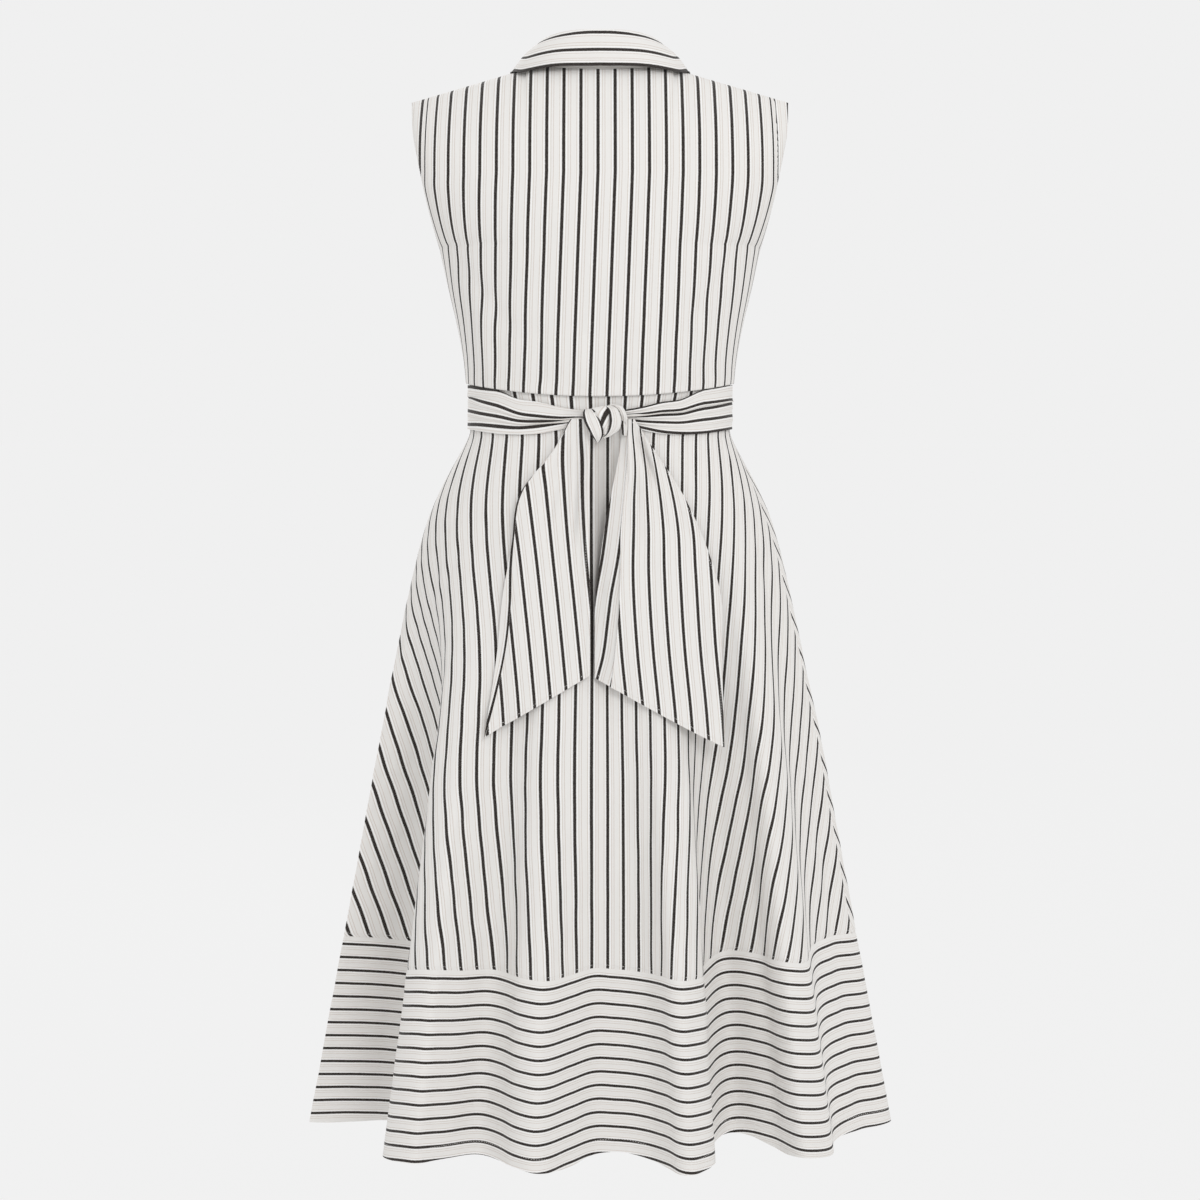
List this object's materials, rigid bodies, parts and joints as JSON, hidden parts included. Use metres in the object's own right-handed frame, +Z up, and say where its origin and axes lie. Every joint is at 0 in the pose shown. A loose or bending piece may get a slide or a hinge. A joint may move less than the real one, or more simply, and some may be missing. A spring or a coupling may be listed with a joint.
{
  "type": "shirt dress",
  "caption": "Sleeveless striped shirt dress, worn and hollow: turned-down collar, button front, flared skirt with a hem band, and a sash tied at the back.",
  "frame": {"origin": "midway between the shoulders, near the neck ends of the shoulder seams, where the wearer holds the dress up", "axes": "+Z up, +Y the way the wearer faces, so the tied back faces -Y, +X to the wearer's right"},
  "size_m": [0.5879, 0.3397, 1.0877],
  "materials": {
    "striped_cotton": "plain woven cotton, dull",
    "button": "pearly"
  },
  "bodies": {
    "root": {"back_bodice": "striped_cotton", "front_bodice_right": "striped_cotton", "front_bodice_left": "striped_cotton", "back_skirt": "striped_cotton", "front_skirt_right": "striped_cotton", "front_skirt_left": "striped_cotton", "hem_band_back": "striped_cotton", "hem_band_front_right": "striped_cotton", "hem_band_front_left": "striped_cotton", "collar_stand": "striped_cotton", "collar_leaf": "striped_cotton", "front_placket_bodice": "striped_cotton", "front_placket_skirt": "striped_cotton", "sash": "striped_cotton", "sash_knot": "striped_cotton", "sash_tail_left": "striped_cotton", "sash_tail_right": "striped_cotton", "button_01": "button", "button_02": "button", "button_03": "button", "button_04": "button", "button_05": "button", "button_06": "button", "button_07": "button", "button_08": "button", "button_09": "button", "button_10": "button", "button_11": "button"}
  },
  "joints": []
}
